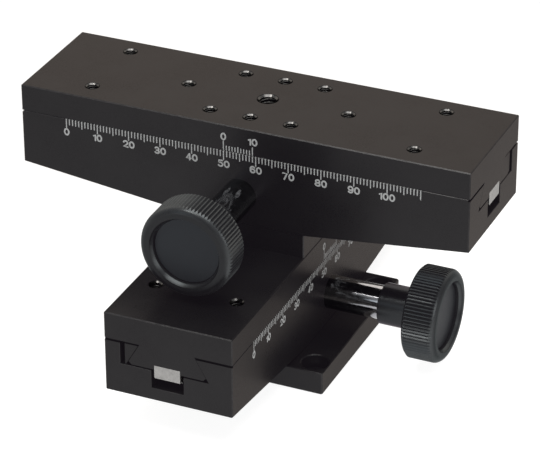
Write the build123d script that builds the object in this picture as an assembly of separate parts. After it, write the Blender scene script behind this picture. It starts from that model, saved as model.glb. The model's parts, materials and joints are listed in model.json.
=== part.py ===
from build123d import *
import math
import os

# ------------------------------------------------------------------
# XY rack-and-pinion dovetail stage. Millimetres, +Z up.
# The origin is the centre of the mount plate's underside.
# One unit is drawn in its own frame: z = 0 is the top of its slide,
# x is the travel, the knob and the scale are on the -y side.
# ------------------------------------------------------------------

# driving dimensions of one unit
LEN = 139.0            # length of slide and base
Y_F = -19.9            # front face (scale side)
Y_B = 19.25            # back face (gib side)
T_SLIDE = 8.15         # slide plate thickness
GAP = 0.08             # slit between slide and base
H_END = 24.95          # unit height at its ends
H_MID = 30.6           # unit height in the middle
X_MID = 19.8           # half length of the flat middle of the underside
H_UNIT = 37.75         # unit height with its plate or spacer
EASE = 0.10            # small chamfer on the profile edges of the end faces
STEP_H = 0.65          # height of the relief step along the base's top edge at its ends
STEP_D = 0.60          # and its depth
BEVEL_SIDE = 0.22      # bevel on the base's top edge along its sides

# dovetail
DV_TOP = 8.45          # half width of the male dovetail at the plate
DV_Z = -15.15          # bottom of the male dovetail
DV_TAN = 1.0 / math.tan(math.radians(60))
TIP_Z = -14.20         # the acute tips are cut off from here
TIP_Y = 11.00          # to here on the underside
FLANK_GAP = 0.04       # running clearance on the flanks, along y
GROOVE_Z = -15.55      # floor of the groove
GIB_BACK = 13.15       # back face of the gib
GIB_WALL = 14.45       # wall of the base behind the gib

# rack and pinion
MODULE = 0.4
TEETH = 16
R_P = MODULE * TEETH / 2
Z_AX = -21.4           # pinion axis
ADD = 0.36
DED = 0.45
THIN = 0.05            # tooth thinning on each side of the mesh
RACK_W = 7.9
RACK_TOP = -13.75
REC_W = 9.9            # recess width
REC_Z = -21.2          # recess floor
PIN_HALF = 4.35        # half width of the pinion
POCKET_X = 5.0
POCKET_Z = -26.2

# sleeve, collar, knob (along -y)
R_SLEEVE = 5.05
Y_SLEEVE = -36.8
R_SPIGOT = 4.3
Y_SPIGOT = -42.5
R_COLLAR = 6.18
Y_COLLAR = -46.85
R_SHAFT = 2.0
R_BUSH_IN = 2.05
R_BUSH_OUT = 3.5
Y_KNOB0 = -47.35
Y_KNOB1 = -57.35
R_KNOB = 13.95
R_SHOULDER = 2.25      # rounding of the knob's outer edge
KNURL_N = 82
KNURL_D = 0.45
R_RIM = 10.7           # mouth of the knob's recess
R_CAP = 10.0
MOUTH_D = 1.10         # depth of the flare at the recess's mouth
Y_CAP = -55.45
T_CAP = 1.2
Y_HEAD = -51.9         # seat of the knob screw's head

# tapped holes in the slide
M4 = 2.0
M6 = 3.0
PITCH = 12.5
M4_DEPTH = 6.8
M4_DEPTH_MID = 9.0
M6_DEPTH = 10.0

# mount plate and spacer
PLATE_X = 29.8         # half size along the unit's x
PLATE_Y = 29.9         # half size along the unit's y
PLATE_HX = 24.5        # bolt holes
PLATE_HY = 25.5
R_BOLT = 2.25
R_CBORE = 4.1
CBORE = 4.3
TRAVEL = 50.0
STOP_X = 10.0
STOP_Y = 8.6

os.makedirs("parts", exist_ok=True)


def prism_x(pts, x0, x1):
    return Pos(x0, 0, 0) * extrude(Plane.YZ * Polygon(*pts, align=None), amount=x1 - x0, dir=(1, 0, 0))


def prism_y(pts, y0, y1):
    return Pos(0, y1, 0) * extrude(Plane.XZ * Polygon(*pts, align=None), amount=y1 - y0, dir=(0, -1, 0))


def box(x0, x1, y0, y1, z0, z1):
    return Pos((x0 + x1) / 2, (y0 + y1) / 2, (z0 + z1) / 2) * Box(x1 - x0, y1 - y0, z1 - z0)


def cyl_z(x, y, r, z0, z1):
    return Pos(x, y, (z0 + z1) / 2) * Cylinder(r, z1 - z0)


def cone_z(x, y, r0, r1, z0, z1):
    # radius r0 at z0, r1 at z1
    return Pos(x, y, (z0 + z1) / 2) * Cone(r0, r1, z1 - z0)


def cyl_y(x, z, r, y0, y1):
    return Pos(x, (y0 + y1) / 2, z) * Rot(X=90) * Cylinder(r, y1 - y0)


def ring_y(x, z, r_in, r_out, y0, y1):
    return cyl_y(x, z, r_out, y0, y1) - cyl_y(x, z, r_in, y0 - 1, y1 + 1)


def turn_y(profile):
    # profile: (radius, y) points, turned about the pinion axis
    face = make_face(Polyline(*[(r, y, 0) for r, y in profile], close=True))
    return Pos(0, 0, Z_AX) * revolve(face, Axis.Y, 360)


def edges_at(solid, test):
    return [e for e in solid.edges() if test(e)]


# ------------------------------------------------------------------
# slide
# ------------------------------------------------------------------
def m4_points():
    p = [(sx * PITCH, sy * PITCH) for sx in (-1, 0, 1) for sy in (-1, 1)]
    p += [(sx * 4 * PITCH, sy * PITCH) for sx in (-1, 1) for sy in (-1, 1)]
    return p


def make_slide():
    h = LEN / 2
    wide = DV_TOP + (-T_SLIDE - TIP_Z) * DV_TAN
    plate = box(-h, h, Y_F, Y_B, -T_SLIDE, 0)
    c = 0.3
    top = [e for e in plate.edges() if e.center().Z > -0.01]
    plate = chamfer(top, c)
    corner = [e for e in plate.edges() if abs(e.center().Z + T_SLIDE / 2) < 0.3 and e.length > T_SLIDE - 1]
    plate = chamfer(corner, c)
    under = [e for e in plate.edges() if abs(e.center().Z + T_SLIDE) < 0.01 and e.length > LEN - 2]
    plate = chamfer(under, 0.08)
    tail = prism_x([(-DV_TOP, -T_SLIDE), (DV_TOP, -T_SLIDE), (wide, TIP_Z), (TIP_Y, DV_Z), (-TIP_Y, DV_Z), (-wide, TIP_Z)], -h, h)
    ends = [e for e in tail.edges() if abs(abs(e.center().X) - h) < 0.01 and e.center().Z < -T_SLIDE - 0.01]
    tail = chamfer(ends, EASE)
    s = plate + tail
    s -= box(-h - 1, h + 1, -RACK_W / 2, RACK_W / 2, DV_Z - 1, RACK_TOP)
    # closed slot for the stop pin
    s -= box(STOP_X - TRAVEL - 1.55, STOP_X + TRAVEL + 1.55, STOP_Y - 1.65, STOP_Y + 1.65, DV_Z - 1, DV_Z + 2.1)
    for x, y in m4_points():
        s -= cyl_z(x, y, M4, -M4_DEPTH, 1)
        s -= cone_z(x, y, M4, M4 + 0.25, -0.25, 0.0)
    for x in (-2 * PITCH, 2 * PITCH):
        s -= cyl_z(x, 0, M4, -M4_DEPTH_MID, 1)
        s -= cone_z(x, 0, M4, M4 + 0.25, -0.25, 0.0)
    s -= cyl_z(0, 0, M6, -M6_DEPTH, 1)
    s -= cone_z(0, 0, M6, M6 + 0.3, -0.3, 0.0)
    for x in RACK_SCREWS:
        s -= cyl_z(x, 0, 1.25, RACK_TOP - 0.5, -9.4)
    return s


# ------------------------------------------------------------------
# rack
# ------------------------------------------------------------------
RACK_SCREWS = (-62.0, -37.0, 37.0, 62.0)


def make_rack():
    p = math.pi * MODULE
    zp = Z_AX + R_P
    ta = math.tan(math.radians(20))
    half = p / 4 - THIN / 2
    tip = half - ADD * ta
    root = half + DED * ta
    z_tip = zp - ADD
    z_root = zp + DED
    h = LEN / 2
    n = int((h - root) / p)
    pts = [(-h, RACK_TOP), (-h, z_root)]
    for i in range(-n, n + 1):
        x = i * p
        pts += [(x - root, z_root), (x - tip, z_tip), (x + tip, z_tip), (x + root, z_root)]
    pts += [(h, z_root), (h, RACK_TOP)]
    r = prism_y(pts, -RACK_W / 2, RACK_W / 2)
    # one tooth corner is bevelled at each end
    for s in (-1, 1):
        lead = prism_x([(-RACK_W / 2 - 1, z_tip - 1), (-RACK_W / 2 + 0.75, z_tip - 1), (-RACK_W / 2 + 0.75, z_tip),
                        (-RACK_W / 2, z_tip + 1.1), (-RACK_W / 2 - 1, z_tip + 1.1)], h - 2.2, h + 1)
        r -= lead if s > 0 else Rot(Z=180) * lead
    for x in RACK_SCREWS:
        r -= cyl_z(x, 0, 2.45, z_tip - 1, z_root + 0.05)
        r -= cone_z(x, 0, 2.45, 1.25, z_root + 0.05, z_root + 1.25)
        r -= cyl_z(x, 0, 1.25, z_root, RACK_TOP + 1)
    return r


def make_rack_screws():
    z_root = Z_AX + R_P + DED
    out = []
    for x in RACK_SCREWS:
        s = cone_z(x, 0, 2.45, 1.25, z_root + 0.05, z_root + 1.25) + cyl_z(x, 0, 1.25, z_root + 1.25, -9.4)
        s -= hexagon_z(x, 0, 1.5, z_root - 0.5, z_root + 0.9)
        out.append(s)
    return Compound(children=out)


def hexagon_z(x, y, af, z0, z1):
    return Pos(x, y, z0) * extrude(RegularPolygon(af / 2, 6, major_radius=False), amount=z1 - z0)


def hexagon_y(x, z, af, y0, y1):
    return Pos(x, y1, z) * extrude(Plane.XZ * RegularPolygon(af / 2, 6, major_radius=False), amount=y1 - y0)


# ------------------------------------------------------------------
# pinion: involute teeth, a gap points up at the rack at rest
# ------------------------------------------------------------------
def make_pinion():
    al = math.radians(20)
    rb = R_P * math.cos(al)
    ra = R_P + ADD
    rf = R_P - DED
    inv = math.tan(al) - al
    half_p = math.pi / (2 * TEETH) - THIN / 2 / R_P

    def half_angle(r):
        if r <= rb:
            return half_p + inv
        a = math.acos(rb / r)
        return half_p + inv - (math.tan(a) - a)

    radii = [rf, rb] + [rb + (ra - rb) * k / 5 for k in range(1, 6)]
    pts = []
    for i in range(TEETH):
        mid = math.pi / 2 + (i + 0.5) * 2 * math.pi / TEETH
        for r in radii:
            a = mid - half_angle(r)
            pts.append((r * math.cos(a), Z_AX + r * math.sin(a)))
        for r in reversed(radii):
            a = mid + half_angle(r)
            pts.append((r * math.cos(a), Z_AX + r * math.sin(a)))
    g = prism_y(pts, -PIN_HALF, PIN_HALF)
    return g - cyl_y(0, Z_AX, R_SHAFT, -PIN_HALF - 1, PIN_HALF + 1)


# ------------------------------------------------------------------
# base
# ------------------------------------------------------------------
def make_base(mount_holes):
    h = LEN / 2
    z1 = -T_SLIDE - GAP
    body = prism_y([(-h, z1), (h, z1), (h, -H_END), (X_MID, -H_MID), (-X_MID, -H_MID), (-h, -H_END)], Y_F, Y_B)
    corner = [e for e in body.edges() if abs(abs(e.center().X) - h) < 0.01 and e.length > 10 and e.length < 20]
    body = chamfer(corner, 0.3)
    top = [e for e in body.edges() if abs(e.center().Z - z1) < 0.01 and e.length > LEN - 3]
    body = chamfer(top, BEVEL_SIDE)
    for s in (-1, 1):
        body -= box(min(s * h, s * (h - STEP_D)), max(s * h, s * (h - STEP_D)), Y_F - 1, Y_B + 1, z1 - STEP_H, z1 + 1)
    bot = [e for e in body.edges() if abs(e.center().Z - z1) > 1 and e.length > 30
           and (abs(e.center().Y - Y_F) < 0.01 or abs(e.center().Y - Y_B) < 0.01)]
    body = chamfer(bot, 0.25)

    def flank(z):
        return DV_TOP + (-T_SLIDE - z) * DV_TAN + FLANK_GAP
    groove = [(-flank(z1 + 1), z1 + 1), (GIB_WALL, z1 + 1), (GIB_WALL, GROOVE_Z), (-flank(GROOVE_Z), GROOVE_Z)]
    body -= prism_x(groove, -h - 1, h + 1)
    body -= box(-h - 1, h + 1, -REC_W / 2, REC_W / 2, REC_Z, GROOVE_Z + 1)
    ends = [e for e in body.edges() if abs(abs(e.center().X) - h) < 0.01 and -flank(z1) - 0.3 < e.center().Y < GIB_WALL + 0.01
            and e.center().Z > REC_Z - 0.01 and e.center().Z < z1 - STEP_H - 0.05]
    body = chamfer(ends, EASE)
    # pocket for the pinion, bores for sleeve and rear bush
    body -= box(-POCKET_X, POCKET_X, -REC_W / 2, REC_W / 2, POCKET_Z, GROOVE_Z)
    body -= cyl_y(0, Z_AX, R_SLEEVE, Y_F - 1, -REC_W / 2 + 0.5)
    body -= cyl_y(0, Z_AX, R_BUSH_OUT, REC_W / 2 - 0.5, 11.2)
    # gib screws, stop pin, sleeve set screw
    for x in GIB_SCREWS:
        body -= cyl_y(x, GIB_Z, 1.5, GIB_WALL - 0.5, Y_B + 1)
    body -= cyl_z(STOP_X, STOP_Y, 1.5, -20.2, GROOVE_Z + 1)
    body -= cyl_z(0, SET_Y, 1.5, -H_MID - 1, Z_AX)
    # screws from below
    for x, y in PLATE_SCREWS:
        body -= cyl_z(x, y, 2.0, -H_MID - 1, -25.4)
    if mount_holes:
        for x in (-PITCH, PITCH):
            body -= cyl_z(x, 0, R_BOLT, -H_MID - 1, REC_Z)
            body -= cyl_z(x, 0, R_CBORE, REC_Z - 4.2, REC_Z + 1)
    return body


GIB_SCREWS = (-52.5, -17.5, 17.5, 52.5)
GIB_Z = -11.9
SET_Y = -13.0
PLATE_SCREWS = [(-15.0, -13.0), (15.0, -13.0), (-15.0, 13.0), (15.0, 13.0)]


def make_gib():
    def flank(z):
        return DV_TOP + (-T_SLIDE - z) * DV_TAN + FLANK_GAP
    zt = -T_SLIDE - GAP - 0.1
    zb = GROOVE_Z
    h = LEN / 2 - 0.3
    g = prism_x([(flank(zt), zt), (GIB_BACK, zt), (GIB_BACK, zb), (flank(zb), zb)], -h, h)
    g = chamfer([e for e in g.edges() if abs(abs(e.center().X) - h) < 0.01 and e.center().Z < zt - 1], EASE)
    for s in (-1, 1):
        g -= box(min(s * (h + 1), s * (h - 0.45)), max(s * (h + 1), s * (h - 0.45)), 0, Y_B, zt - 0.55, zt + 1)
    # dimples for the screw tips
    for x in GIB_SCREWS:
        g -= cyl_y(x, GIB_Z, 1.0, GIB_BACK - 0.3, GIB_BACK + 1)
    return g


def make_gib_screws():
    out = []
    for x in GIB_SCREWS:
        s = cyl_y(x, GIB_Z, 1.5, GIB_BACK, Y_B - 0.4) + cyl_y(x, GIB_Z, 1.0, GIB_BACK - 0.3, GIB_BACK + 0.2)
        s -= hexagon_y(x, GIB_Z, 1.5, Y_B - 2.2, Y_B + 1)
        out.append(s)
    return Compound(children=out)


def make_stop_pin():
    return cyl_z(STOP_X, STOP_Y, 1.5, -20.2, DV_Z + 1.6)


def make_set_screw():
    s = cyl_z(0, SET_Y, 1.5, -H_MID + 0.4, Z_AX - R_SLEEVE - 0.02)
    return s - hexagon_z(0, SET_Y, 1.5, -H_MID - 1, -H_MID + 1.9)


# ------------------------------------------------------------------
# sleeve, shaft, bushes, collar
# ------------------------------------------------------------------
def make_sleeve():
    y0 = -REC_W / 2 - 0.05
    c = 0.3
    prof = [(R_BUSH_OUT, y0), (R_SLEEVE, y0), (R_SLEEVE, Y_SLEEVE + c), (R_SLEEVE - c, Y_SLEEVE),
            (R_SPIGOT, Y_SLEEVE), (R_SPIGOT, Y_SPIGOT), (R_BUSH_OUT, Y_SPIGOT), (R_BUSH_OUT, Y_SPIGOT + 6),
            (3.0, Y_SPIGOT + 6), (3.0, y0 - 6), (R_BUSH_OUT, y0 - 6)]
    return turn_y(prof)


def make_sleeve_bushes():
    y0 = -REC_W / 2 - 0.05
    return Compound(children=[ring_y(0, Z_AX, R_BUSH_IN, R_BUSH_OUT, y0 - 6, y0),
                              ring_y(0, Z_AX, R_BUSH_IN, R_BUSH_OUT, Y_SPIGOT, Y_SPIGOT + 6)])


def make_rear_bush():
    return ring_y(0, Z_AX, R_BUSH_IN, R_BUSH_OUT, REC_W / 2, 11.0)


def make_thrust_washers():
    a = REC_W / 2
    return Compound(children=[ring_y(0, Z_AX, R_BUSH_IN, 4.0, -a, -a + 0.5), ring_y(0, Z_AX, R_BUSH_IN, 4.0, a - 0.5, a)])


def make_shaft():
    s = cyl_y(0, Z_AX, R_SHAFT, Y_HEAD + 0.8, 10.6)
    return s - cyl_y(0, Z_AX, 1.25, Y_HEAD - 1, -43.5)


def make_drag_ring():
    return ring_y(0, Z_AX, R_BUSH_IN, R_SPIGOT, Y_SPIGOT - 2.0, Y_SPIGOT)


def make_collar():
    c = 0.2
    prof = [(R_SPIGOT, Y_SLEEVE - 0.05), (R_COLLAR - c, Y_SLEEVE - 0.05), (R_COLLAR, Y_SLEEVE - 0.05 - c),
            (R_COLLAR, Y_COLLAR + c), (R_COLLAR - c, Y_COLLAR), (2.8, Y_COLLAR), (2.8, Y_SPIGOT - 2.0),
            (R_SPIGOT, Y_SPIGOT - 2.0)]
    return turn_y(prof)


# ------------------------------------------------------------------
# knob
# ------------------------------------------------------------------
def make_knob():
    y0, y1 = Y_KNOB0, Y_KNOB1
    r = R_KNOB + 0.02
    seat = Y_CAP + T_CAP
    prof = [(R_SHAFT, y0), (r - 0.67, y0), (r, y0 - 0.67), (r, y1), (R_RIM, y1), (R_CAP + 0.02, y1 + MOUTH_D), (R_CAP, Y_CAP - 0.05),
            (R_CAP, seat), (2.95, seat), (2.95, Y_HEAD), (1.35, Y_HEAD), (1.35, Y_HEAD + 0.7), (R_SHAFT, Y_HEAD + 0.7)]
    body = turn_y(prof)
    rim = [e for e in body.edges() if abs(e.center().Y - y1) < 0.01 and e.length > 2 * math.pi * (r - 0.5)]
    body = fillet(rim, R_SHOULDER)
    pts = []
    n = KNURL_N
    for i in range(n):
        a = 2 * math.pi * i / n
        for k, rr in ((0.0, R_KNOB), (0.22, R_KNOB), (0.61, R_KNOB - KNURL_D)):
            b = a + k * 2 * math.pi / n
            pts.append((rr * math.cos(b), Z_AX + rr * math.sin(b)))
    star = prism_y(pts, y1 - 0.5, y0 + 0.5)
    return body & star


def make_knob_screw():
    s = cyl_y(0, Z_AX, 2.75, Y_HEAD - 2.2, Y_HEAD) + cyl_y(0, Z_AX, 1.25, Y_HEAD, -44.0)
    return s - hexagon_y(0, Z_AX, 2.5, Y_HEAD - 3.5, Y_HEAD - 1.0)


def make_knob_cap():
    prof = [(0, Y_CAP + T_CAP), (R_CAP, Y_CAP + T_CAP), (R_CAP, Y_CAP + 0.45), (R_CAP - 0.25, Y_CAP + 0.45),
            (R_CAP - 0.25, Y_CAP + 0.08), (R_CAP - 0.33, Y_CAP), (0, Y_CAP)]
    return turn_y(prof)


# ------------------------------------------------------------------
# plates and their screws
# ------------------------------------------------------------------
def make_plate():
    p = box(-PLATE_X, PLATE_X, -PLATE_Y, PLATE_Y, -H_UNIT, -H_MID)
    p = chamfer([e for e in p.edges() if abs(e.center().Z + (H_UNIT + H_MID) / 2) < 0.1], 0.4)
    p = chamfer([e for e in p.edges() if e.center().Z > -H_MID - 0.01 or e.center().Z < -H_UNIT + 0.01], 0.25)
    for sx in (-1, 1):
        for sy in (-1, 1):
            p -= cyl_z(sx * PLATE_HX, sy * PLATE_HY, R_BOLT, -H_UNIT - 1, -H_MID + 1)
            p -= cyl_z(sx * PLATE_HX, sy * PLATE_HY, R_CBORE, -H_MID - CBORE, -H_MID + 1)
            p -= cone_z(sx * PLATE_HX, sy * PLATE_HY, R_CBORE, R_CBORE + 0.3, -H_MID - 0.3, -H_MID)
    p -= cyl_z(0, SET_Y, 2.0, -H_UNIT - 1, -H_MID + 1)
    return p - plate_screw_holes()


def plate_screw_holes():
    out = None
    for x, y in PLATE_SCREWS:
        s = cyl_z(x, y, 2.0, -H_UNIT - 1, -H_MID + 1) + cone_z(x, y, 4.0, 2.0, -H_UNIT + 0.2, -H_UNIT + 2.4) \
            + cyl_z(x, y, 4.0, -H_UNIT - 1, -H_UNIT + 0.2)
        out = s if out is None else out + s
    return out


def make_spacer():
    p = box(-X_MID, X_MID, Y_F, Y_B, -H_UNIT, -H_MID)
    p = chamfer([e for e in p.edges() if abs(e.center().Z + (H_UNIT + H_MID) / 2) < 0.1], 0.3)
    for x in (-PITCH, PITCH):
        p -= cyl_z(x, 0, R_BOLT, -H_UNIT - 1, -H_MID + 1)
    return p - plate_screw_holes()


def make_plate_screws():
    out = []
    for x, y in PLATE_SCREWS:
        s = cone_z(x, y, 4.0, 2.0, -H_UNIT + 0.2, -H_UNIT + 2.4) + cyl_z(x, y, 2.0, -H_UNIT + 2.4, -25.9)
        s -= hexagon_z(x, y, 2.5, -H_UNIT - 1, -H_UNIT + 1.8)
        out.append(s)
    return Compound(children=out)


def make_mount_screws():
    out = []
    for x in (-PITCH, PITCH):
        s = cyl_z(x, 0, 3.5, REC_Z - 4.2, REC_Z - 0.2) + cyl_z(x, 0, 2.0, -H_UNIT - M4_DEPTH + 0.6, REC_Z - 4.2)
        s -= hexagon_z(x, 0, 3.0, REC_Z - 2.4, REC_Z + 1)
        out.append(s)
    return Compound(children=out)


# ------------------------------------------------------------------
# both units in place
# ------------------------------------------------------------------
common = {
    "slide": make_slide(),
    "gib": make_gib(),
    "gib_screws": make_gib_screws(),
    "rack": make_rack(),
    "rack_screws": make_rack_screws(),
    "pinion": make_pinion(),
    "shaft": make_shaft(),
    "rear_bush": make_rear_bush(),
    "sleeve": make_sleeve(),
    "sleeve_bushes": make_sleeve_bushes(),
    "thrust_washers": make_thrust_washers(),
    "sleeve_set_screw": make_set_screw(),
    "drag_ring": make_drag_ring(),
    "drag_collar": make_collar(),
    "knob": make_knob(),
    "knob_screw": make_knob_screw(),
    "knob_cap": make_knob_cap(),
    "stop_pin": make_stop_pin(),
}
lower = dict(common)
lower["base"] = make_base(False)
lower["mount_plate"] = make_plate()
lower["plate_screws"] = make_plate_screws()
upper = dict(common)
upper["base"] = make_base(True)
upper["spacer"] = make_spacer()
upper["spacer_screws"] = make_plate_screws()
upper["mount_screws"] = make_mount_screws()

for prefix, parts, where in (("lower", lower, Pos(0, 0, H_UNIT) * Rot(Z=90)), ("upper", upper, Pos(0, 0, 2 * H_UNIT))):
    for name, shape in parts.items():
        export_step(where * shape, "parts/%s_%s.step" % (prefix, name))
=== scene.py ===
import json
import math
import bpy
from mathutils import Matrix, Vector


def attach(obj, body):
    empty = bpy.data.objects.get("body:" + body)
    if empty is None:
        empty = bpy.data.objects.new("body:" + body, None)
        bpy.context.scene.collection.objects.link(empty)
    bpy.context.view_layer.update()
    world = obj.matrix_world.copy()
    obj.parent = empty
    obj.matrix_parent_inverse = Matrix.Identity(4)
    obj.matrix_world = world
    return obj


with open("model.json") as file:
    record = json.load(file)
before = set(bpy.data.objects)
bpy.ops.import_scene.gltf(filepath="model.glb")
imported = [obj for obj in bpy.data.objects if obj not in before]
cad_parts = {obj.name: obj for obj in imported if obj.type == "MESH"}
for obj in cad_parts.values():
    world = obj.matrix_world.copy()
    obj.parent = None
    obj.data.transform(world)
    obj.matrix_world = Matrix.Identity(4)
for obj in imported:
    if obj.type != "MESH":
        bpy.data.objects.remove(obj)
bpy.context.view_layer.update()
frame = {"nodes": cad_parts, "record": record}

# ------------------------------------------------------------------
# Places, in millimetres in one unit's own frame: z = 0 is the slide's
# top, x its travel, and the scale and the knob are on the -y side.
# ------------------------------------------------------------------
H_UNIT = 37.75
Y_FACE = -19.9
Z_SLIT_TOP = -8.15
Z_SLIT_LOW = -8.23
BEVEL = 0.22          # bevel along the base's top edges
SCALE_0 = -55.02


def place(unit, x, y, z):
    if unit == "lower":
        return Vector((-y, x, z + H_UNIT)) / 1000.0
    return Vector((x, y, z + 2 * H_UNIT)) / 1000.0


BASE_BODY = {"lower": "lower_frame", "upper": "lower_carriage"}
SLIDE_BODY = {"lower": "lower_carriage", "upper": "upper_carriage"}


# ------------------------------------------------------------------
# Shader helpers. Object coordinates are metres, so the textures are
# laid out in millimetres.
# ------------------------------------------------------------------
class Mat:
    def __init__(self, name):
        self.m = bpy.data.materials.new(name)
        self.m.use_nodes = True
        self.nt = self.m.node_tree
        self.nt.nodes.clear()
        self.out = self.node("ShaderNodeOutputMaterial")
        self.b = self.node("ShaderNodeBsdfPrincipled")
        self.link(self.b.outputs[0], self.out.inputs[0])
        tc = self.node("ShaderNodeTexCoord")
        s = self.node("ShaderNodeVectorMath", operation="SCALE")
        s.inputs["Scale"].default_value = 1000.0
        self.link(tc.outputs["Object"], s.inputs[0])
        self.mm = s.outputs[0]

    def node(self, kind, **props):
        n = self.nt.nodes.new(kind)
        for k, v in props.items():
            setattr(n, k, v)
        return n

    def link(self, a, b):
        self.nt.links.new(a, b)

    def put(self, v, socket):
        if hasattr(v, "is_linked"):
            self.link(v, socket)
        else:
            socket.default_value = v

    def scaled(self, x, y, z):
        n = self.node("ShaderNodeVectorMath", operation="MULTIPLY")
        n.inputs[1].default_value = (x, y, z)
        self.link(self.mm, n.inputs[0])
        return n.outputs[0]

    def noise(self, scale, detail=3.0, rough=0.55, vec=None, distort=0.0):
        n = self.node("ShaderNodeTexNoise")
        n.inputs["Scale"].default_value = scale
        n.inputs["Detail"].default_value = detail
        n.inputs["Roughness"].default_value = rough
        n.inputs["Distortion"].default_value = distort
        self.link(vec or self.mm, n.inputs["Vector"])
        return n.outputs["Fac"]

    def voronoi(self, scale, feature="F1", vec=None):
        n = self.node("ShaderNodeTexVoronoi", feature=feature)
        n.inputs["Scale"].default_value = scale
        self.link(vec or self.mm, n.inputs["Vector"])
        return n.outputs["Distance"]

    def ramp(self, fac, lo, hi, a=0.0, b=1.0):
        n = self.node("ShaderNodeMapRange")
        n.inputs["From Min"].default_value = lo
        n.inputs["From Max"].default_value = hi
        n.inputs["To Min"].default_value = a
        n.inputs["To Max"].default_value = b
        self.link(fac, n.inputs["Value"])
        return n.outputs[0]

    def math(self, op, a, b=0.0, c=None):
        n = self.node("ShaderNodeMath", operation=op)
        self.put(a, n.inputs[0])
        self.put(b, n.inputs[1])
        if c is not None:
            self.put(c, n.inputs[2])
        return n.outputs[0]

    def mix(self, fac, a, b):
        n = self.node("ShaderNodeMix", data_type="RGBA")
        self.put(fac, n.inputs[0])
        for v, s in ((a, n.inputs[6]), (b, n.inputs[7])):
            if isinstance(v, tuple):
                s.default_value = (v[0], v[1], v[2], 1.0)
            else:
                self.link(v, s)
        return n.outputs[2]

    def bump(self, height, strength, distance_mm, normal=None):
        n = self.node("ShaderNodeBump")
        n.inputs["Strength"].default_value = strength
        n.inputs["Distance"].default_value = distance_mm / 1000.0
        self.link(height, n.inputs["Height"])
        if normal is not None:
            self.link(normal, n.inputs["Normal"])
        return n.outputs[0]

    def face_normal(self):
        g = self.node("ShaderNodeNewGeometry")
        s = self.node("ShaderNodeSeparateXYZ")
        t = self.node("ShaderNodeVectorTransform", vector_type="NORMAL", convert_from="WORLD", convert_to="OBJECT")
        self.link(g.outputs["True Normal"], t.inputs[0])
        self.link(t.outputs[0], s.inputs[0])
        return [self.math("ABSOLUTE", s.outputs[i]) for i in range(3)]

    def edges(self):
        # 1 on the chamfers, 0 on the flat faces and the bore walls
        x, y, z = self.face_normal()
        slanted = self.math("MULTIPLY", self.math("GREATER_THAN", z, 0.55), self.math("LESS_THAN", z, 0.85))
        slanted = self.math("MULTIPLY", slanted, self.math("LESS_THAN", self.math("MULTIPLY", x, y), 0.03))
        xy = self.math("MULTIPLY", self.math("GREATER_THAN", x, 0.68), self.math("GREATER_THAN", y, 0.68))
        return self.math("MAXIMUM", slanted, xy)

    def color(self, v):
        self.put(v if not isinstance(v, tuple) else (*v, 1.0), self.b.inputs["Base Color"])

    def set(self, **k):
        names = {"rough": "Roughness", "metal": "Metallic", "normal": "Normal", "spec": "Specular IOR Level",
                 "ior": "IOR", "coat": "Coat Weight", "coat_rough": "Coat Roughness", "aniso": "Anisotropic",
                 "tint": "Specular Tint", "glow": "Emission Color", "glow_strength": "Emission Strength"}
        for key, v in k.items():
            self.put(v, self.b.inputs[names[key]])


def dark_finish(name, base, tone, rough, tint, edge=None, grain_scale=5.5, grain=0.30, bump=0.35, metal=0.8, spec=0.25, spread=0.06,
                painted_glow=(0.0056, 0.0044, 0.0060), face=None):
    # dyed oxide on metal: a dim reflection that stays dim at grazing angles
    k = Mat(name)
    blotch = k.noise(0.07, 4.0, 0.6)
    fine = k.noise(grain_scale, 3.0, 0.7)
    pores = k.voronoi(3.2)
    t = k.math("ADD", k.ramp(blotch, 0.3, 0.7, -0.18, 0.18), k.ramp(fine, 0.3, 0.7, -grain, grain))
    fac = k.ramp(t, -0.48, 0.48)
    lo, hi = base * 0.80, base * 1.22
    body = k.mix(fac, tuple(lo * c for c in tone), tuple(hi * c for c in tone))
    if edge:
        wear = k.noise(0.9, 4.0, 0.65)
        mask = k.math("MULTIPLY", k.edges(), k.ramp(wear, 0.35, 0.62, 0.35, 1.0))
        body = k.mix(mask, body, edge)
    if face:
        # painted shade: the knob's turned front face is coloured darker than its knurl
        s = k.node("ShaderNodeSeparateXYZ")
        k.link(k.mm, s.inputs[0])
        depth = k.math("MAXIMUM", k.math("ABSOLUTE", s.outputs[0]), k.math("ABSOLUTE", s.outputs[1]))
        painted_shade_tone = k.mix(fac, tuple(face * 0.85 * c for c in tone), tuple(face * 1.15 * c for c in tone))
        body = k.mix(k.ramp(depth, 56.75, 57.33), body, painted_shade_tone)
    k.color(body)
    # painted light: the finish also glows faintly purple, lifting its deepest shadows
    k.set(rough=k.math("ADD", k.ramp(fine, 0.25, 0.75, rough - spread * 0.8, rough + spread), k.ramp(blotch, 0.3, 0.7, -0.02, 0.03)),
          spec=spec, metal=metal, tint=tint, glow=(*painted_glow, 1.0), glow_strength=1.0)
    h = k.math("ADD", fine, k.math("MULTIPLY", pores, 0.35))
    k.set(normal=k.bump(h, bump, 0.010))
    return k.m


def polished_steel(name):
    # blackened and polished turned steel, with faint lathe lines and hand smears
    k = Mat(name)
    smear = k.noise(0.55, 4.0, 0.6, None, 0.4)
    x, y, z = 0.25, 0.25, 1.6
    lathe = k.noise(3.0, 2.0, 0.5, k.scaled(x, y, z))
    k.color(k.mix(k.ramp(smear, 0.3, 0.7), (0.25, 0.253, 0.268), (0.38, 0.384, 0.405)))
    k.set(metal=1.0, rough=k.ramp(smear, 0.3, 0.75, 0.07, 0.17))
    k.set(normal=k.bump(k.math("ADD", smear, k.math("MULTIPLY", lathe, 0.10)), 0.5, 0.02))
    return k.m


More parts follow.
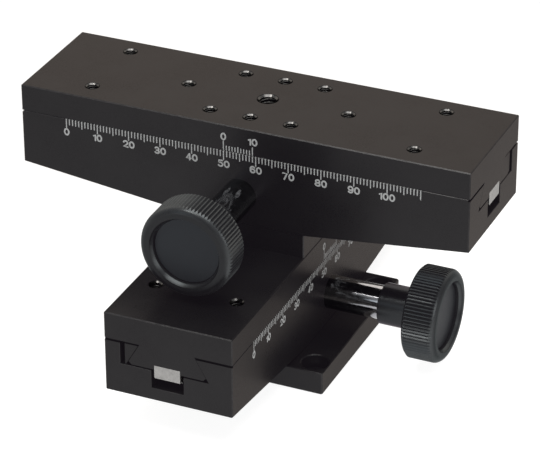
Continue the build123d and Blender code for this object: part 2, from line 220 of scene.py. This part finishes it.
def metal(name, lo, hi, rough=(0.25, 0.4), stretch=(1, 1, 1), scale=2.0, bump=0.25, depth=0.01, tint=(1.0, 1.0, 1.0, 1.0)):
    k = Mat(name)
    brush = k.noise(scale, 4.0, 0.7, k.scaled(*stretch))
    stain = k.noise(0.35, 3.0, 0.6)
    t = k.math("ADD", k.math("MULTIPLY", brush, 0.65), k.math("MULTIPLY", stain, 0.35))
    k.color(k.mix(k.ramp(t, 0.3, 0.7), lo, hi))
    k.set(metal=1.0, rough=k.ramp(brush, 0.3, 0.7, rough[0], rough[1]), normal=k.bump(brush, bump, depth), tint=tint)
    return k.m


def plastic(name, lo, hi, rough=0.5):
    k = Mat(name)
    grain = k.noise(4.0, 3.0, 0.6)
    k.color(k.mix(k.ramp(grain, 0.3, 0.7), lo, hi))
    k.set(rough=k.ramp(grain, 0.3, 0.7, rough - 0.06, rough + 0.06), normal=k.bump(grain, 0.2, 0.01))
    return k.m


def paint(name):
    k = Mat(name)
    grain = k.noise(3.5, 4.0, 0.7)
    thin = k.noise(0.45, 3.0, 0.6)
    t = k.math("ADD", k.math("MULTIPLY", grain, 0.5), k.math("MULTIPLY", thin, 0.5))
    k.color(k.mix(k.ramp(t, 0.3, 0.7), (0.29, 0.295, 0.295), (0.40, 0.405, 0.405)))
    k.set(rough=k.ramp(grain, 0.3, 0.7, 0.5, 0.7), spec=0.3, normal=k.bump(grain, 0.3, 0.01))
    return k.m


MATS = {
    "black_anodised": dark_finish("black_anodised", 0.0188, (0.985, 1.0, 1.0), 0.29, (0.50, 0.475, 0.455, 1.0), (0.034, 0.034, 0.034)),
    "black_steel": metal("black_steel", (0.030, 0.030, 0.032), (0.060, 0.060, 0.064), (0.35, 0.5)),
    "rack_steel": metal("rack_steel", (0.21, 0.207, 0.203), (0.385, 0.378, 0.37), (0.38, 0.55), (1, 6, 0.7), 1.2),
    "screw_steel": metal("screw_steel", (0.30, 0.30, 0.30), (0.44, 0.44, 0.43), (0.25, 0.4)),
    "bush_bronze": metal("bush_bronze", (0.36, 0.22, 0.10), (0.52, 0.35, 0.17), (0.3, 0.45)),
    "white_plastic": plastic("white_plastic", (0.66, 0.66, 0.64), (0.78, 0.78, 0.76)),
    "polished_black": polished_steel("polished_black"),
    "matt_black": dark_finish("matt_black", 0.030, (0.92, 1.02, 1.05), 0.27, (0.55, 0.52, 0.55, 1.0), None, 7.0, 0.25, 0.25),
    # the knob's face tone is painted shade on its front face
    "knob_black": dark_finish("knob_black", 0.053, (0.92, 1.0, 1.02), 0.28, (0.42, 0.44, 0.44, 1.0), None, 6.0, 0.28, 0.25, face=0.022),
    "knob_cap": dark_finish("knob_cap", 0.025, (0.86, 1.0, 1.10), 0.40, (0.6, 0.6, 0.6, 1.0), None, 6.0, 0.30, 0.30),
}
MARK = paint("scale_paint")
THREAD = metal("thread_cut", (0.045, 0.044, 0.043), (0.085, 0.083, 0.081), (0.28, 0.42), (1, 1, 1), 3.0)
SINK = metal("countersink", (0.085, 0.083, 0.080), (0.125, 0.122, 0.118), (0.16, 0.26), (1, 1, 1), 3.0, 0.15, 0.01, (0.25, 0.25, 0.25, 1.0))

slot_of = {s["node"]: s["material_slot"] for s in frame["record"]["subparts"]}
for name, obj in frame["nodes"].items():
    m = MATS[slot_of[name]]
    if obj.material_slots:
        for s in obj.material_slots:
            s.material = m
    else:
        obj.data.materials.append(m)


# ------------------------------------------------------------------
# Mesh helpers
# ------------------------------------------------------------------
def piece(name, verts, faces, material, body, smooth=False):
    me = bpy.data.meshes.new(name)
    me.from_pydata([tuple(v) for v in verts], [], faces)
    me.validate()
    me.update()
    if smooth:
        for p in me.polygons:
            p.use_smooth = True
    me.materials.append(material)
    ob = bpy.data.objects.new(name, me)
    bpy.context.scene.collection.objects.link(ob)
    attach(ob, body)
    return ob


class Marks:
    """Paint-filled marks on a flat face, as closed plates a hair proud of it."""

    def __init__(self, unit, y):
        self.unit, self.y, self.v, self.f = unit, y, [], []

    def plate(self, ring):
        n, k = len(ring), len(self.v)
        for dy in (-0.014, 0.004):
            self.v += [place(self.unit, x, self.y + dy, z) for x, z in ring]
        self.f.append(tuple(k + i for i in range(n)))
        self.f.append(tuple(k + n + i for i in reversed(range(n))))
        for i in range(n):
            j = (i + 1) % n
            self.f.append((k + i, k + n + i, k + n + j, k + j))

    def bar(self, x, z0, z1, w):
        h = w / 2
        c = h * 0.7
        self.plate([(x - h, z0 - 0), (x - h, z1 + c), (x - h * 0.4, z1), (x + h * 0.4, z1), (x + h, z1 + c), (x + h, z0)]
                   if z1 < z0 else
                   [(x - h, z0), (x + h, z0), (x + h, z1 - c), (x + h * 0.4, z1), (x - h * 0.4, z1), (x - h, z1 - c)][::-1])

    def lip(self, x, w):
        """The part of a mark that climbs over the bevel to the slit."""
        h, k = w / 2, len(self.v)
        n = math.sqrt(0.5)
        low, top = (self.y, Z_SLIT_LOW - BEVEL), (self.y + BEVEL - 0.02, Z_SLIT_LOW - 0.02)
        for off in (0.013, -0.004):
            for xx in (x - h, x + h):
                for y, z in (low, top):
                    self.v.append(place(self.unit, xx, y - off * n, z + off * n))
        a, b, c, d, e, f, g, i = range(k, k + 8)
        self.f += [(a, c, d, b), (e, f, i, g), (a, b, f, e), (c, g, i, d), (b, d, i, f), (a, e, g, c)]

    def stroke(self, pts, w, closed=False, rise=0.0):
        """A line of even width with round ends, as one strip of quads."""
        h = w / 2
        n = len(pts)
        left, right = [], []
        for i in range(n):
            if closed:
                a, b = pts[i - 1], pts[(i + 1) % n]
            else:
                a, b = pts[max(i - 1, 0)], pts[min(i + 1, n - 1)]
            d = Vector((b[0] - a[0], b[1] - a[1])).normalized()
            left.append((pts[i][0] - d.y * h, pts[i][1] + d.x * h))
            right.append((pts[i][0] + d.y * h, pts[i][1] - d.x * h))
        if closed:
            k = len(self.v)
            for dy in (-0.014 - rise, 0.004 - rise):
                for ring in (left, right):
                    self.v += [place(self.unit, x, self.y + dy, z) for x, z in ring]
            for i in range(n):
                j = (i + 1) % n
                l0, r0, l1, r1 = k, k + n, k + 2 * n, k + 3 * n
                self.f += [(l0 + i, l0 + j, r0 + j, r0 + i), (l1 + j, l1 + i, r1 + i, r1 + j),
                           (l0 + j, l0 + i, l1 + i, l1 + j), (r0 + i, r0 + j, r1 + j, r1 + i)]
            return
        ends = []
        for p, q in ((pts[-1], pts[-2]), (pts[0], pts[1])):
            d = Vector((p[0] - q[0], p[1] - q[1])).normalized()
            a0 = math.atan2(d.y, d.x)
            ends.append([(p[0] + h * math.cos(a0 + t), p[1] + h * math.sin(a0 + t))
                         for t in (math.pi / 2 - math.pi * i / 6 for i in range(1, 6))])
        ring = left + ends[0] + right[::-1] + ends[1]
        k = len(self.v)
        m = len(ring)
        for dy in (-0.014 - rise, 0.004 - rise):
            self.v += [place(self.unit, x, self.y + dy, z) for x, z in ring]
        li = list(range(n))
        ri = list(range(n + 5, 2 * n + 5))[::-1]
        for off, flip in ((0, False), (m, True)):
            quads = [(li[i], li[i + 1], ri[i + 1], ri[i]) for i in range(n - 1)]
            fans = [(li[n - 1], *range(n, n + 5), ri[n - 1]), (ri[0], *range(2 * n + 5, 2 * n + 10), li[0])]
            for q in quads + fans:
                q = tuple(k + off + i for i in q)
                self.f.append(q[::-1] if flip else q)
        for i in range(m):
            j = (i + 1) % m
            self.f.append((k + j, k + i, k + m + i, k + m + j))

    def done(self, name, body):
        return piece(name, self.v, self.f, MARK, body)


def arc(cx, cy, rx, ry, a0, a1, n=14):
    return [(cx + rx * math.cos(math.radians(a0 + (a1 - a0) * i / n)), cy + ry * math.sin(math.radians(a0 + (a1 - a0) * i / n)))
            for i in range(n + 1)]


# Engraver's digits as single strokes in a box 0.62 wide and 1 high.
DIGITS = {
    "0": [("c", arc(0.31, 0.5, 0.31, 0.5, 0, 360, 28)[:-1])],
    "1": [("o", [(0.0, 0.76), (0.25, 1.0), (0.25, 0.0)])],
    "2": [("o", arc(0.31, 0.70, 0.30, 0.30, 165, -35, 14) + [(0.02, 0.0), (0.62, 0.0)])],
    "3": [("o", arc(0.30, 0.735, 0.265, 0.265, 150, -80, 12) + [(0.26, 0.485)]), ("o", [(0.26, 0.485)] + arc(0.31, 0.25, 0.30, 0.25, 70, -155, 14))],
    "4": [("o", [(0.46, 0.0), (0.46, 1.0)]), ("o", [(0.44, 1.0), (0.0, 0.27), (0.62, 0.27)])],
    "5": [("o", [(0.57, 1.0), (0.12, 1.0), (0.07, 0.55)] + arc(0.30, 0.32, 0.31, 0.32, 118, -150, 16))],
    "6": [("c", arc(0.31, 0.30, 0.30, 0.30, 0, 360, 24)[:-1]), ("o", arc(0.33, 0.66, 0.32, 0.34, 40, 180, 12) + [(0.01, 0.32)])],
    "7": [("o", [(0.02, 1.0), (0.60, 1.0), (0.22, 0.0)])],
    "8": [("c", arc(0.31, 0.75, 0.26, 0.25, 0, 360, 20)[:-1]), ("c", arc(0.31, 0.26, 0.31, 0.26, 0, 360, 22)[:-1])],
    "9": [("c", arc(0.31, 0.70, 0.30, 0.30, 0, 360, 24)[:-1]), ("o", arc(0.29, 0.34, 0.32, 0.34, -140, 0, 12) + [(0.61, 0.68)])],
}
GLYPH_WIDTH = {"1": 0.25}


def number(marks, text, x, z, h=2.36, w=0.50, gap=0.10):
    # x, z is the number's centre
    size = h - w
    wide = [GLYPH_WIDTH.get(c, 0.62) * size * 1.16 + w for c in text]
    x0 = x - (sum(wide) + gap * (len(text) - 1)) / 2 + w / 2
    for c, width in zip(text, wide):
        for layer, (kind, pts) in enumerate(DIGITS[c]):
            # crossing strokes lie at slightly different heights, so that no two faces coincide
            marks.stroke([(x0 + px * size * 1.16, z - size / 2 + pz * size) for px, pz in pts], w, kind == "c", 0.003 * layer)
        x0 += width + gap


TICK = 0.33
for unit in ("lower", "upper"):
    m = Marks(unit, Y_FACE)
    for i in range(111):
        end = -11.30 if i % 10 == 0 else (-10.78 if i % 5 == 0 else -10.2)
        m.bar(SCALE_0 + i, Z_SLIT_LOW - BEVEL, end, TICK)
        m.lip(SCALE_0 + i, TICK)
    for i in range(0, 101, 10):
        number(m, str(i), SCALE_0 + i, -12.45)
    m.done(unit + "_scale", BASE_BODY[unit])
    v = Marks(unit, Y_FACE)
    for i in range(11):
        top = -5.0 if i == 0 else (-5.4 if i == 10 else (-6.2 if i == 5 else -6.5))
        v.bar(SCALE_0 + 50 + 0.9 * i, Z_SLIT_TOP + 0.14, top, TICK)
    number(v, "0", SCALE_0 + 50.0, -3.73)
    number(v, "10", SCALE_0 + 59.1, -3.74)
    v.done(unit + "_vernier", SLIDE_BODY[unit])


# ------------------------------------------------------------------
# Threads in the tapped holes: a helical ridge inside each bore
# ------------------------------------------------------------------
def threads(unit, name, holes):
    verts, faces = [], []
    for x, y, r, pitch, z0, z1 in holes:
        seg = 24
        crest = r - 0.54 * pitch
        sec = ((r + 0.004, -0.44 * pitch), (crest, -0.07 * pitch), (crest, 0.07 * pitch), (r + 0.004, 0.44 * pitch))
        n = int((z0 - z1) / pitch * seg)
        k = len(verts)
        for i in range(n + 1):
            a = 2 * math.pi * i / seg
            z = z0 - pitch * i / seg
            fade = min(1.0, i / 8.0, (n - i) / 8.0)
            for rr, dz in sec:
                rr = r + 0.004 - (r + 0.004 - rr) * fade
                verts.append(place(unit, x + rr * math.cos(a), y + rr * math.sin(a), z + dz))
        for i in range(n):
            for j in range(3):
                a = k + 4 * i + j
                faces.append((a, a + 1, a + 5, a + 4))
            a = k + 4 * i
            faces.append((a + 3, a, a + 4, a + 7))
        faces.append((k, k + 3, k + 2, k + 1))
        e = k + 4 * n
        faces.append((e, e + 1, e + 2, e + 3))
    return piece(name, verts, faces, THREAD, SLIDE_BODY[unit], True)


def countersinks(unit, name, holes):
    """A cone at the mouth of each thread, from its outer to its inner diameter."""
    verts, faces = [], []
    seg = 40
    for x, y, r, pitch, z0, z1 in holes:
        inner = r - 0.54 * pitch
        top, low = -0.03, -0.03 - (r - inner)
        k = len(verts)
        for rr, z in ((r + 0.004, top), (inner, low), (inner, low - 0.10), (r + 0.004, low - 0.10)):
            verts += [place(unit, x + rr * math.cos(2 * math.pi * i / seg), y + rr * math.sin(2 * math.pi * i / seg), z)
                      for i in range(seg)]
        for i in range(seg):
            j = (i + 1) % seg
            for a in range(4):
                b = (a + 1) % 4
                faces.append((k + a * seg + i, k + a * seg + j, k + b * seg + j, k + b * seg + i))
    return piece(name, verts, faces, SINK, SLIDE_BODY[unit])


P = 12.5
M4_HOLES = [(sx * P, sy * P) for sx in (-1, 0, 1) for sy in (-1, 1)] + [(sx * 4 * P, sy * P) for sx in (-1, 1) for sy in (-1, 1)]
for unit in ("lower", "upper"):
    holes = [(x, y, 2.0, 0.7, -0.80, -6.3) for x, y in M4_HOLES]
    holes += [(x, 0.0, 2.0, 0.7, -0.80, -8.5) for x in (-2 * P, 2 * P)]
    holes += [(0.0, 0.0, 3.0, 1.0, -1.1, -9.4)]
    threads(unit, unit + "_hole_threads", holes)
    countersinks(unit, unit + "_countersinks", holes)


# ------------------------------------------------------------------
# Camera
# ------------------------------------------------------------------
AZ, EL, ROLL = math.radians(23.932), math.radians(28.899), math.radians(-0.2172)
DIST = 0.892
TARGET = Vector((0.000504, 0.0, 2 * H_UNIT / 1000 - 0.041194))
back = Vector((math.sin(AZ) * math.cos(EL), -math.cos(AZ) * math.cos(EL), math.sin(EL)))
right = Vector((math.cos(AZ), math.sin(AZ), 0.0))
up = back.cross(right)
r2 = math.cos(ROLL) * right + math.sin(ROLL) * up
u2 = -math.sin(ROLL) * right + math.cos(ROLL) * up
cam_data = bpy.data.cameras.new("camera")
cam = bpy.data.objects.new("camera", cam_data)
bpy.context.scene.collection.objects.link(cam)
cam_data.sensor_width = 36.0
cam_data.lens = 3041.861 * 36.0 / 540.0
cam_data.clip_start = 0.05
cam_data.clip_end = 50.0
loc = TARGET + back * DIST
cam.matrix_world = Matrix(((r2.x, u2.x, back.x, loc.x), (r2.y, u2.y, back.y, loc.y), (r2.z, u2.z, back.z, loc.z), (0, 0, 0, 1)))
bpy.context.scene.camera = cam


# ------------------------------------------------------------------
# Floor and light
# ------------------------------------------------------------------
fl = bpy.data.meshes.new("floor")
S = 6.0
fl.from_pydata([(-S, -S, 0), (S, -S, 0), (S, S, 0), (-S, S, 0)], [], [(0, 1, 2, 3)])
floor = bpy.data.objects.new("floor", fl)
bpy.context.scene.collection.objects.link(floor)
floor.location.z = -0.0002
k = Mat("floor_with_painted_glow")
g = k.noise(0.02, 3.0, 0.5)
k.color(k.mix(g, (0.29, 0.29, 0.29), (0.31, 0.31, 0.31)))
# painted light: the floor glows, brightest in a pool in the middle, so that shadows stay faint
off = k.node("ShaderNodeVectorMath", operation="SUBTRACT")
off.inputs[1].default_value = (35.0, -30.0, 0.0)
k.link(k.mm, off.inputs[0])
r = k.node("ShaderNodeVectorMath", operation="LENGTH")
k.link(off.outputs[0], r.inputs[0])
painted_light_pool = k.node("ShaderNodeMapRange", interpolation_type="SMOOTHSTEP")
painted_light_pool.inputs["From Min"].default_value = 40.0
painted_light_pool.inputs["From Max"].default_value = 185.0
painted_light_pool.inputs["To Min"].default_value = 0.90
painted_light_pool.inputs["To Max"].default_value = 0.54
k.link(r.outputs["Value"], painted_light_pool.inputs["Value"])
k.set(rough=0.7, spec=0.2, glow=(1.0, 1.0, 1.0, 1.0), glow_strength=painted_light_pool.outputs[0])
fl.materials.append(k.m)

# the backdrop is lighter behind the stage, and a plain soft grey elsewhere
world = bpy.data.worlds.new("world")
bpy.context.scene.world = world
world.use_nodes = True
wt = world.node_tree
bg = wt.nodes["Background"]
tc = wt.nodes.new("ShaderNodeTexCoord")
dot = wt.nodes.new("ShaderNodeVectorMath")
dot.operation = "DOT_PRODUCT"
dot.inputs[1].default_value = Vector((-0.36, 0.78, 0.52)).normalized()
wt.links.new(tc.outputs["Generated"], dot.inputs[0])
mr = wt.nodes.new("ShaderNodeMapRange")
mr.interpolation_type = "SMOOTHSTEP"
mr.inputs["From Min"].default_value = 0.3
mr.inputs["From Max"].default_value = 1.0
wt.links.new(dot.outputs["Value"], mr.inputs["Value"])
mx = wt.nodes.new("ShaderNodeMix")
mx.data_type = "RGBA"
mx.inputs[6].default_value = (0.40, 0.405, 0.41, 1.0)
mx.inputs[7].default_value = (1.85, 1.72, 1.58, 1.0)
wt.links.new(mr.outputs[0], mx.inputs[0])
wt.links.new(mx.outputs[2], bg.inputs[0])
bg.inputs[1].default_value = 1.0


def area(name, loc, look, sx, sy, radiance, color):
    d = bpy.data.lights.new(name, "AREA")
    d.shape = "RECTANGLE"
    d.size, d.size_y = sx, sy
    d.energy = radiance * math.pi * sx * sy
    d.color = color
    o = bpy.data.objects.new(name, d)
    bpy.context.scene.collection.objects.link(o)
    o.location = loc
    o.rotation_mode = "QUATERNION"
    o.rotation_quaternion = (Vector(look) - Vector(loc)).to_track_quat("-Z", "Y")
    o.visible_camera = False
    return o


area("overhead_softbox", (0.18, -0.10, 1.15), (0.18, -0.10, 0), 0.95, 0.95, 4.0, (1.0, 0.99, 0.98))
area("key_softbox", (-0.25, -0.63, 1.15), (-0.25, -0.63, 0), 0.34, 0.30, 12.0, (1.0, 0.97, 0.94))
area("back_softbox", (-0.43, 0.51, 1.05), (0, 0, 0.05), 0.40, 0.45, 2.4, (1.0, 0.97, 0.94))
area("front_strip", (-0.43, -1.12, 0.08), (0, 0, 0.06), 0.35, 0.14, 3.0, (1.0, 1.0, 1.0))
area("right_card", (1.15, -0.35, 0.42), (0, 0, 0.05), 0.50, 0.60, 2.2, (1.0, 0.99, 0.98))
area("front_window", (-0.43, -1.02, 0.46), (0, 0, 0.05), 0.50, 0.50, 0.95, (0.84, 0.94, 1.0))

bpy.context.scene.view_settings.view_transform = "Standard"
